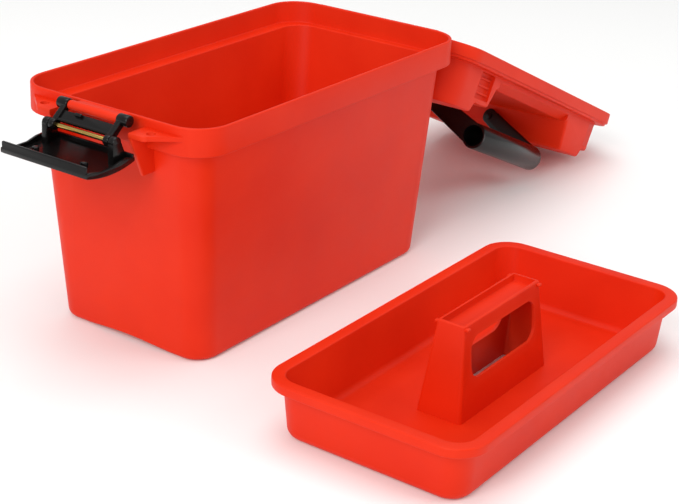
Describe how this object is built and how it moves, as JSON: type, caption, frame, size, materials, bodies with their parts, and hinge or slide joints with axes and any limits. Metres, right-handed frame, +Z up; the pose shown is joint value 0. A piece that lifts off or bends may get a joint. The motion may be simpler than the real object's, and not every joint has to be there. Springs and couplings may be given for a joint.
{
  "type": "fishing tackle box",
  "caption": "Orange-red dry tackle box with folded-back hinged lid, black carry handle, over-centre latch and a lift-out tray with a central grip.",
  "frame": {"origin": "middle of the box's base, on the floor", "axes": "+X towards the hinge and the folded-back lid, -Y towards the tray, +Z up"},
  "size_m": [0.8206, 0.4787, 0.2179],
  "materials": {
    "red_shell": "satin",
    "black_gloss": "gloss",
    "seal_rubber": "matte",
    "steel_pin": "brushed",
    "brass_rod": "satin"
  },
  "bodies": {
    "box": {"box_body": "red_shell", "lid_hinge_pin": "steel_pin"},
    "lid": {"lid": "red_shell", "lid_seal": "seal_rubber"},
    "handle": {"carry_handle": "black_gloss"},
    "link": {"latch_link": "black_gloss", "latch_barrel_pin": "steel_pin", "latch_lever_rod": "brass_rod"},
    "lever": {"latch_lever": "black_gloss"},
    "tray": {"lift_out_tray": "red_shell"}
  },
  "joints": [
    {"name": "lid_hinge", "type": "hinge", "parent": "box", "child": "lid", "pos_m": [0.1947, 0, 0.2075], "axis": [0, 1, 0], "range_deg": [-204.7, 0]},
    {"name": "carry_handle_pivot", "type": "hinge", "parent": "lid", "child": "handle", "pos_m": [0.35425, 0, 0.08844], "axis": [0.9085, 0, -0.4179], "range_deg": [-26.2, 153.8]},
    {"name": "latch_link_pivot", "type": "hinge", "parent": "box", "child": "link", "pos_m": [-0.2015, 0, 0.213], "axis": [0, -1, 0], "range_deg": [0, 50]},
    {"name": "latch_lever_pivot", "type": "hinge", "parent": "link", "child": "lever", "pos_m": [-0.21713, 0, 0.19989], "axis": [0, 1, 0], "range_deg": [0, 150]},
    {"name": "tray_lift", "type": "slide", "parent": "box", "child": "tray", "axis": [0, 0, 1], "range_m": [0, 0.26]}
  ],
  "couplings": [
    {"joint": "latch_lever_pivot", "follows": "latch_link_pivot", "ratio": 3}
  ]
}
